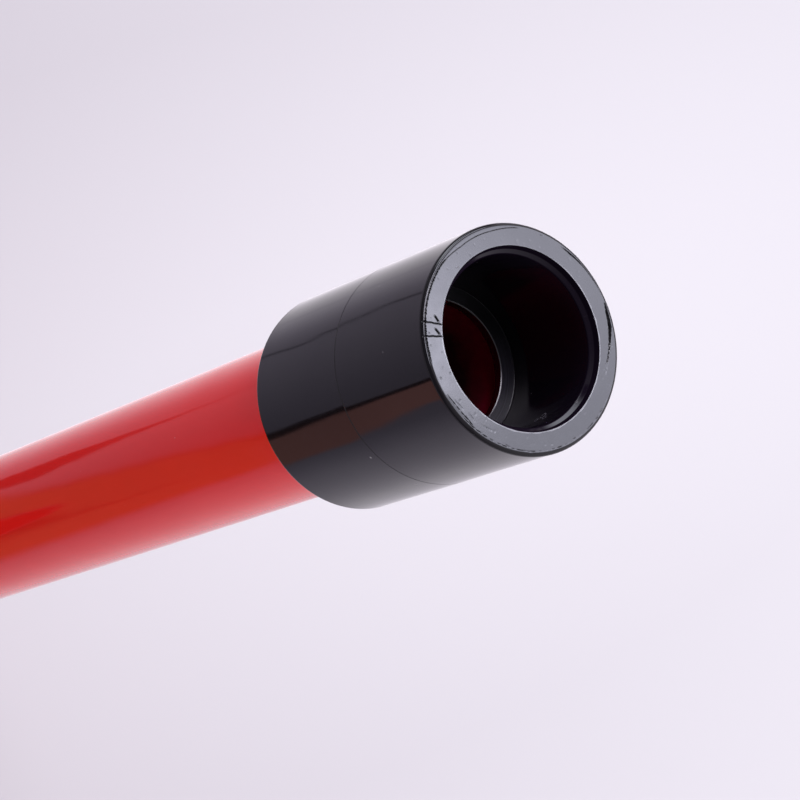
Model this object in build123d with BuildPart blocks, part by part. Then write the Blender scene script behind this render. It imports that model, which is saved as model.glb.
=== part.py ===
"""Hand-held post driver, modelled in millimetres.

A long steel tube is dropped over a fence post and thrown down by its two side handles. A solid steel anvil
sits on the welded head plate inside the closed end and strikes the post. A moulded collar with a stop ring
guides the post in at the open mouth.

Frame: the origin is the centre of the head plate's outer face, and +Z runs up the tube to the open mouth.
The handles lie in the XZ plane, on both sides of the tube.
"""

from build123d import *

import os

os.makedirs("parts", exist_ok=True)

# ---- Driving dimensions ----
TOTAL_LENGTH = 800.0  # head face to mouth face

TUBE_OD = 60.3
TUBE_WALL = 3.2

HEAD_OD = 81.4
HEAD_THICKNESS = 12.0
HEAD_CHAMFER = 2.0
HEAD_WELD_LEG = 5.0
HEAD_WELD_CROWN = 0.5  # rise of the bead over a flat face, along each leg

COLLAR_LENGTH = 110.6
COLLAR_END_OD = 81.3
COLLAR_PARTING_OD = 81.4  # mould draft makes the collar widest at its parting line
COLLAR_EDGE_ROUND = 1.7
PARTING_GROOVE = 0.16  # depth, and half the width
SOCKET_BORE = 60.4  # both halves: one is bonded on the tube, the other is open for a second tube
SOCKET_DEPTH = 48.4  # of the open half, from the mouth face to the stop ring
STOP_RING_BORE = 48.66
STOP_RING_WIDTH = 4.0
LEAD_IN_BORES = (64.8, 63.4)  # at the face and at the foot of the slow taper
LEAD_IN_DEPTHS = (2.3, 3.6)  # depth of the slow taper and of the steep one after it

ANVIL_LENGTH = 120.0
ANVIL_CLEARANCE = 0.1
ANVIL_CHAMFER = 1.5
PIN_OD = 8.0
PIN_WALL = 1.5
PIN_SLOT = 1.6
PIN_CLEARANCE = 0.02
PIN_HEIGHTS = (52.0, 92.0)

HANDLE_OD = 19.0
HANDLE_WALL = 2.0
HANDLE_REACH = 96.0  # from the tube's axis to the grip's axis
HANDLE_BEND = 36.0
HANDLE_FEET = (130.0, 395.0)
WELD_LEG = 4.5

GRIP_LENGTH = 142.0
GRIP_OD = 30.0
GRIP_LIP_OD = 36.0
GRIP_LIP_WIDTH = 6.0
GRIP_LIP_ROUND = 2.0
GRIP_GROOVES = 10
GRIP_GROOVE_DEPTH = 1.4
GRIP_GROOVE_WIDTH = 4.0

# ---- Worked-out dimensions ----
tube_r = TUBE_OD / 2
tube_bore_r = tube_r - TUBE_WALL
parting_z = TOTAL_LENGTH - COLLAR_LENGTH / 2
ring_front = TOTAL_LENGTH - SOCKET_DEPTH
ring_rear = ring_front - STOP_RING_WIDTH
handle_r = HANDLE_OD / 2
foot_low, foot_high = HANDLE_FEET
handle_middle = (foot_low + foot_high) / 2


def export_node(part, node_name):
    """Labels a finished piece and writes it to its own STEP file."""
    part.label = node_name
    export_step(part, f"parts/{node_name}.step")


# ---- Driver tube: plain steel tube with cross holes for the anvil pins ----
with BuildPart() as driver_tube:
    with BuildSketch(Plane.XY.offset(HEAD_THICKNESS)):
        Circle(tube_r)
        Circle(tube_bore_r, mode=Mode.SUBTRACT)
    extrude(amount=ring_rear - HEAD_THICKNESS)
    for pin_plane, pin_height in zip((Plane.YZ, Plane.XZ), PIN_HEIGHTS):
        with BuildSketch(pin_plane):
            with Locations((0, pin_height)):
                Circle(PIN_OD / 2 + PIN_CLEARANCE)
        extrude(amount=TUBE_OD, both=True, mode=Mode.SUBTRACT)
export_node(driver_tube.part, "driver_tube")

# ---- Head plate: round steel plate that closes the tube ----
with BuildPart() as head_plate:
    with BuildSketch():
        Circle(HEAD_OD / 2)
    extrude(amount=HEAD_THICKNESS)
    chamfer(head_plate.edges().filter_by(GeomType.CIRCLE), HEAD_CHAMFER)
export_node(head_plate.part, "head_plate")

# ---- Head weld: fillet weld all round between the plate and the tube ----
with BuildPart() as head_weld:
    with BuildSketch(Plane.XZ):
        with BuildLine():
            weld_root = Line(
                (tube_r + HEAD_WELD_LEG, HEAD_THICKNESS), (tube_r, HEAD_THICKNESS)
            )
            weld_side = Line(weld_root @ 1, weld_root @ 1 + Vector(0, HEAD_WELD_LEG))
            ThreePointArc(
                weld_side @ 1,
                ((weld_side @ 1) + (weld_root @ 0)) / 2 + Vector(HEAD_WELD_CROWN, HEAD_WELD_CROWN),
                weld_root @ 0,
            )
        make_face()
    revolve(axis=Axis.Z)
export_node(head_weld.part, "head_weld")

# ---- Anvil: solid steel slug that strikes the post ----
with BuildPart() as anvil:
    with BuildSketch(Plane.XY.offset(HEAD_THICKNESS)):
        Circle(tube_bore_r - ANVIL_CLEARANCE)
    extrude(amount=ANVIL_LENGTH)
    chamfer(anvil.edges().filter_by(GeomType.CIRCLE), ANVIL_CHAMFER)
    for pin_plane, pin_height in zip((Plane.YZ, Plane.XZ), PIN_HEIGHTS):
        with BuildSketch(pin_plane):
            with Locations((0, pin_height)):
                Circle(PIN_OD / 2 + PIN_CLEARANCE)
        extrude(amount=TUBE_OD, both=True, mode=Mode.SUBTRACT)
export_node(anvil.part, "anvil")

# ---- Anvil pins: slotted spring pins right through the tube and the anvil ----
with BuildPart() as anvil_pins:
    for pin_plane, pin_height in zip((Plane.YZ, Plane.XZ), PIN_HEIGHTS):
        with BuildSketch(pin_plane):
            with Locations((0, pin_height)):
                Circle(PIN_OD / 2)
                Circle(PIN_OD / 2 - PIN_WALL, mode=Mode.SUBTRACT)
            with Locations((0, pin_height + PIN_OD / 2)):
                Rectangle(PIN_SLOT, PIN_OD, mode=Mode.SUBTRACT)
        extrude(amount=tube_r, both=True)
export_node(anvil_pins.part, "anvil_pins")

# ---- Mouth collar: moulded double socket with a stop ring between its halves ----
with BuildPart() as mouth_collar:
    with BuildSketch(Plane.XZ):
        with BuildLine():
            half_length = COLLAR_LENGTH / 2
            front, rear = parting_z + half_length, parting_z - half_length
            slow_bore, steep_bore = (bore / 2 for bore in LEAD_IN_BORES)
            slow_depth, steep_depth = LEAD_IN_DEPTHS
            Polyline(
                (slow_bore, front),
                (COLLAR_END_OD / 2, front),
                (COLLAR_PARTING_OD / 2, parting_z + PARTING_GROOVE),
                (COLLAR_PARTING_OD / 2 - PARTING_GROOVE, parting_z),
                (COLLAR_PARTING_OD / 2, parting_z - PARTING_GROOVE),
                (COLLAR_END_OD / 2, rear),
                (slow_bore, rear),
                (steep_bore, rear + slow_depth),
                (SOCKET_BORE / 2, rear + steep_depth),
                (SOCKET_BORE / 2, ring_rear),
                (STOP_RING_BORE / 2, ring_rear),
                (STOP_RING_BORE / 2, ring_front),
                (SOCKET_BORE / 2, ring_front),
                (SOCKET_BORE / 2, front - steep_depth),
                (steep_bore, front - slow_depth),
                close=True,
            )
        make_face()
    revolve(axis=Axis.Z)
    rims = mouth_collar.edges().filter_by(GeomType.CIRCLE).group_by(Axis.Z)
    fillet(
        [rims[0].sort_by(SortBy.RADIUS)[-1], rims[-1].sort_by(SortBy.RADIUS)[-1]],
        COLLAR_EDGE_ROUND,
    )
export_node(mouth_collar.part, "mouth_collar")

# ---- Handles, their welds and grips, made on +X and mirrored to -X ----
with BuildPart() as right_handle:
    with BuildLine():
        handle_path = FilletPolyline(
            (0, 0, foot_low),
            (HANDLE_REACH, 0, foot_low),
            (HANDLE_REACH, 0, foot_high),
            (0, 0, foot_high),
            radius=HANDLE_BEND,
        )
    with BuildSketch(Plane(handle_path @ 0, z_dir=handle_path % 0)):
        Circle(handle_r)
        Circle(handle_r - HANDLE_WALL, mode=Mode.SUBTRACT)
    sweep()
    with BuildSketch():
        Circle(tube_r)
    extrude(amount=TOTAL_LENGTH, mode=Mode.SUBTRACT)

with BuildPart() as right_grip:
    with BuildSketch(Plane.XZ):
        with Locations((HANDLE_REACH + GRIP_OD / 4, handle_middle)):
            Rectangle(GRIP_OD / 2, GRIP_LENGTH)
        lip_offset = (GRIP_LENGTH - GRIP_LIP_WIDTH) / 2
        with Locations(
            (HANDLE_REACH + GRIP_LIP_OD / 4, handle_middle - lip_offset),
            (HANDLE_REACH + GRIP_LIP_OD / 4, handle_middle + lip_offset),
        ):
            Rectangle(GRIP_LIP_OD / 2, GRIP_LIP_WIDTH)
        groove_pitch = (GRIP_LENGTH - 2 * GRIP_LIP_WIDTH) / (GRIP_GROOVES + 1)
        with Locations((HANDLE_REACH + GRIP_OD / 2, handle_middle)):
            with GridLocations(0, groove_pitch, 1, GRIP_GROOVES):
                Rectangle(2 * GRIP_GROOVE_DEPTH, GRIP_GROOVE_WIDTH, mode=Mode.SUBTRACT)
        with Locations((HANDLE_REACH, handle_middle)):
            Rectangle(HANDLE_OD, 2 * GRIP_LENGTH, mode=Mode.SUBTRACT)
    grip_axis = Axis((HANDLE_REACH, 0, 0), (0, 0, 1))
    revolve(axis=grip_axis)
    lip_edges = right_grip.edges().filter_by(GeomType.CIRCLE).sort_by(SortBy.RADIUS)[-4:]
    fillet(lip_edges, GRIP_LIP_ROUND)


def foot_weld(foot_height):
    """Returns the fillet weld round a handle's foot, on the +X side of the tube."""
    with BuildPart() as bead:
        with BuildSketch(Plane.XY.offset(foot_height - HANDLE_OD)):
            Circle(tube_r)
        extrude(amount=2 * HANDLE_OD)
        with BuildSketch(Plane.YZ):
            with Locations((0, foot_height)):
                Circle(handle_r)
        extrude(amount=HANDLE_REACH / 2)
        toe = bead.edges().filter_by(GeomType.BSPLINE).sort_by(Axis.X)[-1]
        fillet(toe, WELD_LEG)
        with BuildSketch(Plane.XY.offset(foot_height - HANDLE_OD)):
            Circle(tube_r)
        extrude(amount=2 * HANDLE_OD, mode=Mode.SUBTRACT)
        with BuildSketch(Plane.YZ):
            with Locations((0, foot_height)):
                Circle(handle_r)
        extrude(amount=HANDLE_REACH, mode=Mode.SUBTRACT)
    return bead.part


right_pieces = {
    "handle": right_handle.part,
    "grip": right_grip.part,
    "lower_weld": foot_weld(foot_low),
    "upper_weld": foot_weld(foot_high),
}
for piece_name, piece in right_pieces.items():
    export_node(piece, f"right_{piece_name}")
    export_node(piece.mirror(Plane.YZ), f"left_{piece_name}")
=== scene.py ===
"""The looks of the hand-held post driver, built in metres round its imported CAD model.

Every visible piece is a mesh made here to the CAD model's sizes, or a CAD node with a better material. The
driver stands on its closed head, and the camera looks down at its open mouth.
"""

import math

import bmesh
import bpy
import numpy as np
from mathutils import Matrix, Vector


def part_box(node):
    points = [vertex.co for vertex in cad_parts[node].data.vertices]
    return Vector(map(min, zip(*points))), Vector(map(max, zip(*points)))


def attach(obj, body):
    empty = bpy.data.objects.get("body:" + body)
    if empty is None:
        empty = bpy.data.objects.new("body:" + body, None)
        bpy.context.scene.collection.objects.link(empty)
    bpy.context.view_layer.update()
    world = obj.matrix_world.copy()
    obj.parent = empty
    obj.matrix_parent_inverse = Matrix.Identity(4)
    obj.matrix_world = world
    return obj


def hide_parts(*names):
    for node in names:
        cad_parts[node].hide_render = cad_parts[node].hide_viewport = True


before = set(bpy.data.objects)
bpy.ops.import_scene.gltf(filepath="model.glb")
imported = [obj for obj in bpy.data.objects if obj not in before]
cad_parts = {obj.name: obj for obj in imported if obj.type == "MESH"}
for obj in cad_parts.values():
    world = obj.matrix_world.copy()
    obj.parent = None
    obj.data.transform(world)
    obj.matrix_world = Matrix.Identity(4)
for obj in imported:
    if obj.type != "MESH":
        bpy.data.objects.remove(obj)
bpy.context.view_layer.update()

MM = 0.001
TURN = 2 * math.pi

# ---- Sizes read from the frame ----
tube_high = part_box("driver_tube")[1]
plate_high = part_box("head_plate")[1]
collar_low, collar_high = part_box("mouth_collar")
handle_low, handle_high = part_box("right_handle")
grip_low, grip_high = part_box("right_grip")
head_weld_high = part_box("head_weld")[1]

TUBE_R = tube_high.x
TUBE_END = tube_high.z
PLATE_R = plate_high.x
PLATE_TOP = plate_high.z
COLLAR_R = collar_high.x
COLLAR_REAR = collar_low.z
MOUTH = collar_high.z
PARTING = (COLLAR_REAR + MOUTH) / 2
HANDLE_R = handle_high.y
HANDLE_REACH = handle_high.x - HANDLE_R
FEET = (handle_low.z + HANDLE_R, handle_high.z - HANDLE_R)
GRIP_MIDDLE = (grip_low.z + grip_high.z) / 2
GRIP_LENGTH = grip_high.z - grip_low.z
GRIP_LIP_R = grip_high.y

# ---- Sizes inside the pieces, which no box gives ----
TUBE_WALL = 3.2 * MM
HEAD_CHAMFER = 2.0 * MM
STOP_RING_R = 24.33 * MM
SOCKET_R = 30.2 * MM
SOCKET_DEPTH = 48.4 * MM
RING_WORN = (0.40 * MM, 0.16 * MM)  # width and depth of the wear on the stop ring's front edge
LEAD_IN_R = (32.4 * MM, 31.7 * MM)
LEAD_IN_DEPTH = (2.3 * MM, 3.6 * MM)
COLLAR_DRAFT = 0.05 * MM
COLLAR_ROUND = 1.7 * MM
PARTING_DEPTH = 0.16 * MM
FACE_SET_BACK = 0.11 * MM  # room left under the mouth's plane for flash on the face
HANDLE_WALL = 2.0 * MM
HANDLE_BEND = 36.0 * MM
WELD_LEG = 4.5 * MM
PIN_R = 4.0 * MM
PIN_HEIGHTS = (52.0 * MM, 92.0 * MM)
GRIP_R = 15.0 * MM
GRIP_LIP_WIDTH = 6.0 * MM
GRIP_GROOVES = 10
GRIP_GROOVE_DEPTH = 1.4 * MM
GRIP_GROOVE_WIDTH = 4.0 * MM

SHARP_ANGLE = 35  # degrees between two faces, past which their edge is shaded as a sharp one
CORNER_GUARD = 0.08 * MM  # from each corner of an outline to the point that keeps its shading local


# ---- Mesh helpers ----
def outline(corners, arc_step=0.2 * MM):
    """A closed outline of (r, z) points. Each corner is (r, z, radius, step): it is rounded to radius, in
    lengths of about arc_step, and the straight run after it is divided into lengths of about step."""
    ends = []
    count = len(corners)
    for i, (r, z, radius, _) in enumerate(corners):
        here = np.array((r, z))
        if radius == 0:
            ends.append([here])
            continue
        back = np.array(corners[i - 1][:2]) - here
        ahead = np.array(corners[(i + 1) % count][:2]) - here
        back /= np.linalg.norm(back)
        ahead /= np.linalg.norm(ahead)
        half = math.acos(np.clip(back @ ahead, -1, 1)) / 2
        centre = here + (back + ahead) / np.linalg.norm(back + ahead) * radius / math.sin(half)
        reach = radius / math.tan(half)
        start = here + back * reach - centre
        end = here + ahead * reach - centre
        sweep = math.pi - 2 * half
        shares = np.linspace(0, 1, max(4, round(radius * sweep / arc_step)) + 1)
        ends.append(
            [
                centre + (start * math.sin((1 - t) * sweep) + end * math.sin(t * sweep)) / math.sin(sweep)
                for t in shares
            ]
        )
    points = []
    for i, (_, _, _, step) in enumerate(corners):
        points.extend(ends[i])
        start, end = ends[i][-1], ends[(i + 1) % count][0]
        length = np.linalg.norm(end - start)
        guard = min(CORNER_GUARD, length / 4)
        inner = max(int(round(length / step)), 1)
        for along in [guard, *(length * k / inner for k in range(1, inner)), length - guard]:
            points.append(start + (end - start) * along / length)
    return np.array(points)


def turned(profile, angles):
    """Radius and height grids, one row for each point of the profile and one column for each angle."""
    radius = np.repeat(profile[:, :1], len(angles), axis=1)
    height = np.repeat(profile[:, 1:], len(angles), axis=1)
    return radius, height


def round_points(radius, height, angles, centre=(0.0, 0.0)):
    """Grid of points for radius and height grids turned about an upright axis at centre."""
    return np.stack(
        [centre[0] + radius * np.cos(angles), centre[1] + radius * np.sin(angles), height], axis=2
    )


def grid_quads(rows, columns, closed):
    """The four corners of each face of a grid of points, which may close on itself both ways."""
    left_out = 0 if closed else 1
    row, column = np.meshgrid(np.arange(rows - left_out), np.arange(columns - left_out), indexing="ij")
    here, below = row * columns, (row + 1) % rows * columns
    beside = (column + 1) % columns
    return np.stack([here + column, here + beside, below + beside, below + column], axis=2).reshape(-1, 4)


def closed_grid(name, grid):
    """A mesh from a grid of points that closes on itself both ways, with its faces turned outwards."""
    quads = grid_quads(*grid.shape[:2], closed=True)
    points = grid.reshape(-1, 3)
    a, b, c, d = (points[quads[:, k]] for k in range(4))
    volume = np.einsum("ij,ij->", a, np.cross(b, c)) + np.einsum("ij,ij->", a, np.cross(c, d))
    if volume < 0:
        quads = quads[:, ::-1]
    mesh = bpy.data.meshes.new(name)
    mesh.from_pydata(points.tolist(), [], quads.tolist())
    mesh.update()
    return mesh


def add_object(name, data):
    """A new object in the scene."""
    made = bpy.data.objects.new(name, data)
    bpy.context.scene.collection.objects.link(made)
    return made


def add_piece(name, mesh, materials, node, sharp_angle=SHARP_ANGLE):
    """Puts a finished mesh in the scene as a piece that stands for one CAD node."""
    for material in materials:
        mesh.materials.append(material)
    mesh.shade_smooth()
    mesh.set_sharp_from_angle(angle=math.radians(sharp_angle))
    piece = add_object(name, mesh)
    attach(piece, "root")
    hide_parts(node)
    return piece


def wobble(angles, seed, lowest, highest, fade=0.5):
    """A random outline round a circle, from -1 to 1, made of lowest to highest waves to the turn."""
    draw = np.random.default_rng(seed)
    orders = np.arange(lowest, highest + 1)
    phases = draw.uniform(0, TURN, len(orders))
    heights = draw.normal(size=len(orders)) / orders**fade
    total = (heights[:, None] * np.cos(orders[:, None] * angles + phases[:, None])).sum(axis=0)
    return total / np.abs(total).max()


def bell(distance, width):
    """A smooth bump of height 1 and about that half width."""
    return np.exp(-((distance / width) ** 2))


def smooth_step(value, start, end):
    """0 before start and 1 after end, with a smooth run between them."""
    share = np.clip((value - start) / (end - start), 0, 1)
    return share * share * (3 - 2 * share)


def curve(points, value):
    """A value read off the straight lines between (place, value) pairs."""
    return np.interp(value, *zip(*points))


def turn_gap(angles, degrees):
    """Signed angle from a direction given in degrees."""
    return (angles - math.radians(degrees) + math.pi) % TURN - math.pi


def between(angles, first, last, blur=3.0):
    """1 from the first direction to the last one, in degrees, fading over blur degrees outside."""
    middle, half = (first + last) / 2, (last - first) / 2
    outside = np.degrees(np.abs(turn_gap(angles, middle))) - half
    return np.clip(1 - outside / blur, 0, 1)


# ---- Material helpers ----
NOISE_SPAN = (0.3, 0.7)  # where nearly all of a noise texture's values lie


def new_material(name):
    """A material with its node tree, its Principled shader and its object coordinates."""
    material = bpy.data.materials.new(name)
    material.use_nodes = True
    tree = material.node_tree
    coords = add_node(tree, "ShaderNodeTexCoord").outputs["Object"]
    return material, tree, tree.nodes["Principled BSDF"], coords


def add_node(tree, kind, inputs=None, **settings):
    """A node with its settings, and its inputs given as values or as the sockets that feed them."""
    node = tree.nodes.new(kind)
    for key, value in settings.items():
        setattr(node, key, value)
    for key, value in (inputs or {}).items():
        if isinstance(value, bpy.types.NodeSocket):
            tree.links.new(value, node.inputs[key])
        else:
            node.inputs[key].default_value = value
    return node


def noise(tree, coords, per_metre, detail=3.0, distortion=0.0):
    """The value of a noise texture, from 0 to 1."""
    inputs = {"Vector": coords, "Scale": per_metre, "Detail": detail, "Distortion": distortion}
    return add_node(tree, "ShaderNodeTexNoise", inputs).outputs["Fac"]


def ranged(tree, value, old, new=(0.0, 1.0)):
    """A value taken from one range to another and held inside it."""
    inputs = {"Value": value, "From Min": old[0], "From Max": old[1], "To Min": new[0], "To Max": new[1]}
    return add_node(tree, "ShaderNodeMapRange", inputs).outputs["Result"]


def blended(tree, share, first, second):
    """A colour between two colours."""
    mixer = add_node(tree, "ShaderNodeMix", data_type="RGBA", clamp_factor=False)
    for key, value in ((0, share), (6, first), (7, second)):
        if isinstance(value, bpy.types.NodeSocket):
            tree.links.new(value, mixer.inputs[key])
        else:
            mixer.inputs[key].default_value = (*value, 1.0) if key else value
    return mixer.outputs[2]


def coordinate(tree, coords, axis):
    """One of the three coordinates of a point."""
    return add_node(tree, "ShaderNodeSeparateXYZ", {"Vector": coords}).outputs[axis]


def math_node(tree, operation, first, second):
    """One sum done by a math node."""
    return add_node(tree, "ShaderNodeMath", {0: first, 1: second}, operation=operation).outputs[0]


def dress(tree, shader, colour, roughness):
    """Feeds a Principled shader's base colour and its roughness."""
    tree.links.new(colour, shader.inputs["Base Color"])
    tree.links.new(roughness, shader.inputs["Roughness"])


def bumps(tree, shader, layers):
    """Stacks bump layers of (height socket, depth in metres) on a shader's normal."""
    normal = None
    for height, depth in layers:
        node = add_node(tree, "ShaderNodeBump", {"Height": height, "Distance": depth, "Strength": 1.0})
        if normal:
            tree.links.new(normal, node.inputs["Normal"])
        normal = node.outputs["Normal"]
    tree.links.new(normal, shader.inputs["Normal"])


def specks(tree, coords, per_metre, share):
    """Sparse dots: about that share of the cells of a grid holds one."""
    cells = add_node(tree, "ShaderNodeTexVoronoi", {"Vector": coords, "Scale": per_metre})
    picked = add_node(tree, "ShaderNodeSeparateColor", {"Color": cells.outputs["Color"]}).outputs["Red"]
    kept = math_node(tree, "LESS_THAN", picked, share)
    near = ranged(tree, cells.outputs["Distance"], (0.16, 0.06))
    return math_node(tree, "MULTIPLY", kept, near)


def scratches(tree, coords, stretch, per_metre, share):
    """Fine straight scratches that run across the stretched direction."""
    mapped = add_node(tree, "ShaderNodeMapping", {"Vector": coords, "Scale": stretch}).outputs["Vector"]
    lines = noise(tree, mapped, per_metre, detail=2.0, distortion=0.4)
    return ranged(tree, lines, (1 - share - 0.04, 1 - share))


# ---- Materials ----
def red_paint(name, chips=0.0):
    """Glossy red enamel on steel. Chips, when above 0, knocks the sharpest edges back to bare steel."""
    material, tree, shader, coords = new_material(name)
    broad = noise(tree, coords, 14.0, detail=2.0)
    peel = noise(tree, coords, 620.0, detail=2.0)
    dust = specks(tree, coords, 420.0, 0.006)
    colour = blended(tree, broad, (0.72, 0.0105, 0.0085), (0.78, 0.0145, 0.0105))
    colour = blended(tree, math_node(tree, "MULTIPLY", dust, 0.35), colour, (0.75, 0.45, 0.42))
    shine = ranged(tree, noise(tree, coords, 60.0), NOISE_SPAN, (0.07, 0.11))
    rubs = scratches(tree, coords, (1.0, 1.0, 0.06), 900.0, 0.22)
    shine = math_node(tree, "ADD", shine, math_node(tree, "MULTIPLY", rubs, 0.03))
    if chips:
        edge = add_node(tree, "ShaderNodeNewGeometry").outputs["Pointiness"]
        uneven = ranged(tree, noise(tree, coords, 260.0), NOISE_SPAN, (-0.05, 0.05))
        worn = math_node(tree, "ADD", edge, uneven)
        bare = ranged(tree, worn, (0.56 - chips, 0.575 - chips))
        colour = blended(tree, bare, colour, (0.24, 0.23, 0.22))
        tree.links.new(bare, shader.inputs["Metallic"])
        shine = math_node(tree, "ADD", shine, math_node(tree, "MULTIPLY", bare, 0.25))
    dress(tree, shader, colour, shine)
    bumps(tree, shader, [(peel, 0.006 * MM), (broad, 0.5 * MM)])
    return material


def black_plastic(name, dark, roughness, grain, dusty=0.2):
    """Moulded black plastic, between a dark colour and one half as light again. Grain is the depth of its
    fine bump in metres, and dusty, from 0 to 1, is how pale its specks of dust are."""
    material, tree, shader, coords = new_material(name)
    light = tuple(1.5 * value for value in dark)
    cloud = noise(tree, coords, 90.0)
    dust = specks(tree, coords, 260.0, 0.02)
    colour = blended(tree, cloud, dark, light)
    colour = blended(tree, math_node(tree, "MULTIPLY", dust, dusty), colour, (0.42, 0.40, 0.42))
    smear = noise(tree, coords, 240.0, detail=4.0)
    shine = ranged(tree, smear, NOISE_SPAN, (roughness * 0.8, roughness * 1.2))
    dress(tree, shader, colour, math_node(tree, "ADD", shine, math_node(tree, "MULTIPLY", dust, 0.4)))
    ripple = noise(tree, coords, 55.0, detail=1.0)
    fine = noise(tree, coords, 1500.0, detail=3.0)
    bumps(tree, shader, [(ripple, 0.05 * MM), (fine, grain)])
    return material


def distance_from_axis(tree, coords):
    """How far a point is from the tube's axis."""
    flat = add_node(tree, "ShaderNodeVectorMath", {0: coords, 1: (1.0, 1.0, 0.0)}, operation="MULTIPLY")
    return add_node(tree, "ShaderNodeVectorMath", {0: flat.outputs[0]}, operation="LENGTH").outputs["Value"]


def recolour(tree, share, colour):
    """Blends a colour into the base colour that a Principled shader already has."""
    socket = tree.nodes["Principled BSDF"].inputs["Base Color"]
    tree.links.new(blended(tree, share, socket.links[0].from_socket, colour), socket)


def face_plastic():
    """The collar's black face, with a painted highlight: a pale band along its bore's edge, weakest on the
    -Y side.
    """
    material = black_plastic("collar_face", (0.0080, 0.0080, 0.0095), 0.11, 0.004 * MM, 0.12)
    tree = material.node_tree
    coords = add_node(tree, "ShaderNodeTexCoord").outputs["Object"]
    uneven = ranged(tree, noise(tree, coords, 260.0, detail=4.0), NOISE_SPAN, (-0.22 * MM, 0.22 * MM))
    inwards = math_node(tree, "ADD", distance_from_axis(tree, coords), uneven)
    # Painted highlight: the face is made pale in a thin band next to the bore's edge, fading on the -Y side.
    edge_highlight = ranged(tree, inwards, (LEAD_IN_R[0] + 0.50 * MM, LEAD_IN_R[0] + 0.25 * MM))
    side = ranged(tree, coordinate(tree, coords, "Y"), (-24.0 * MM, -8.0 * MM), (0.15, 1.0))
    edge_highlight = math_node(tree, "MULTIPLY", edge_highlight, side)
    recolour(tree, edge_highlight, (0.14, 0.14, 0.155))
    return material


def bore_plastic():
    """The collar's black bore, with a small curled flow mark on its wall."""
    material = black_plastic("collar_bore", (0.0050, 0.0030, 0.0068), 0.10, 0.004 * MM, 0.12)
    tree = material.node_tree
    coords = add_node(tree, "ShaderNodeTexCoord").outputs["Object"]
    crumble = ranged(tree, noise(tree, coords, 1400.0), (0.4, 0.55))
    mark = None
    for turn, drop, ring_r in CURLS:
        way = math.radians(turn)
        middle = (SOCKET_R * math.cos(way), SOCKET_R * math.sin(way), MOUTH - drop)
        away = add_node(tree, "ShaderNodeVectorMath", {0: coords, 1: middle}, operation="DISTANCE")
        off = math_node(tree, "SUBTRACT", away.outputs["Value"], ring_r)
        curl = ranged(tree, math_node(tree, "ABSOLUTE", off, 0.0), (0.32 * MM, 0.10 * MM))
        mark = curl if mark is None else math_node(tree, "MAXIMUM", mark, curl)
    recolour(tree, math_node(tree, "MULTIPLY", mark, crumble), (0.20, 0.19, 0.22))
    tree.nodes["Principled BSDF"].inputs["Specular IOR Level"].default_value = 0.32
    return material


def scuffed_plastic():
    """Black plastic with fine turned rings on the stop ring, painted grey as a sheen that grows towards the
    side the side lamp lights, with a painted dark red reflection in its bore and a polished worn edge.
    """
    material, tree, shader, coords = new_material("collar_ring")
    from_axis = distance_from_axis(tree, coords)
    cloud = noise(tree, coords, 130.0, detail=4.0)
    wander = math_node(tree, "ADD", from_axis, math_node(tree, "MULTIPLY", cloud, 0.5 * MM))
    rings = add_node(
        tree,
        "ShaderNodeTexNoise",
        {"W": wander, "Scale": 2600.0, "Detail": 3.0, "Roughness": 0.7},
        noise_dimensions="1D",
    ).outputs["Fac"]
    # Painted light: the rings' grey sheen grows towards +Y, the part of the ring that the side lamp reaches
    # through the mouth.
    side = ranged(tree, coordinate(tree, coords, "Y"), (-12.0 * MM, 14.0 * MM), (0.15, 1.0))
    ring_sheen = math_node(tree, "MULTIPLY", ranged(tree, rings, (0.35, 0.7)), side)
    grey = blended(tree, ring_sheen, (0.0025, 0.0022, 0.0038), (0.034, 0.030, 0.045))
    # Painted reflection: the ring's bore is tinted dark red, standing in for the red inside of the tube
    # mirrored in it.
    inner = ranged(tree, from_axis, (STOP_RING_R + 0.10 * MM, STOP_RING_R + 0.02 * MM))
    colour = blended(tree, inner, grey, (0.035, 0.001, 0.004))
    worn_end = STOP_RING_R + RING_WORN[0]
    polish = ranged(tree, from_axis, (worn_end + 0.1 * MM, worn_end), (1.0, 0.45))
    shine = ranged(tree, rings, NOISE_SPAN, (0.30, 0.44))
    dress(tree, shader, colour, math_node(tree, "MULTIPLY", shine, polish))
    bumps(tree, shader, [(rings, 0.015 * MM), (noise(tree, coords, 900.0), 0.01 * MM)])
    return material


def bare_inside():
    """The tube's inside: red paint near its upper end, giving way deeper in to dull dark steel as a painted
    shade of the unlit depth; the red reaches further in on the right handle's side, which light reaches,
    than on the shaded side."""
    material, tree, shader, coords = new_material("tube_inside")
    ragged = ranged(tree, noise(tree, coords, 90.0), NOISE_SPAN, (-3.0 * MM, 3.0 * MM))
    # Painted shade: the red gives way to dark sooner on the -X side, which lies in shade, and later on the
    # lit +X side.
    lean = ranged(tree, coordinate(tree, coords, "X"), (-10.0 * MM, 15.0 * MM), (0.0, 110.0 * MM))
    edge = math_node(tree, "ADD", coordinate(tree, coords, "Z"), ragged)
    edge = math_node(tree, "ADD", edge, lean)
    lit_red_share = ranged(tree, edge, (TUBE_END - 24 * MM, TUBE_END - 8 * MM))
    stain = noise(tree, coords, 45.0, detail=5.0)
    # Painted shade: this dull dark steel stands for the unlit depth of the tube's inside.
    steel = blended(tree, stain, (0.020, 0.012, 0.011), (0.048, 0.032, 0.028))
    dull = ranged(tree, noise(tree, coords, 150.0), NOISE_SPAN, (0.35, 0.55))
    dress(tree, shader, blended(tree, lit_red_share, steel, (0.24, 0.002, 0.026)), dull)
    bumps(tree, shader, [(noise(tree, coords, 700.0, detail=4.0), 0.04 * MM)])
    return material


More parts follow.
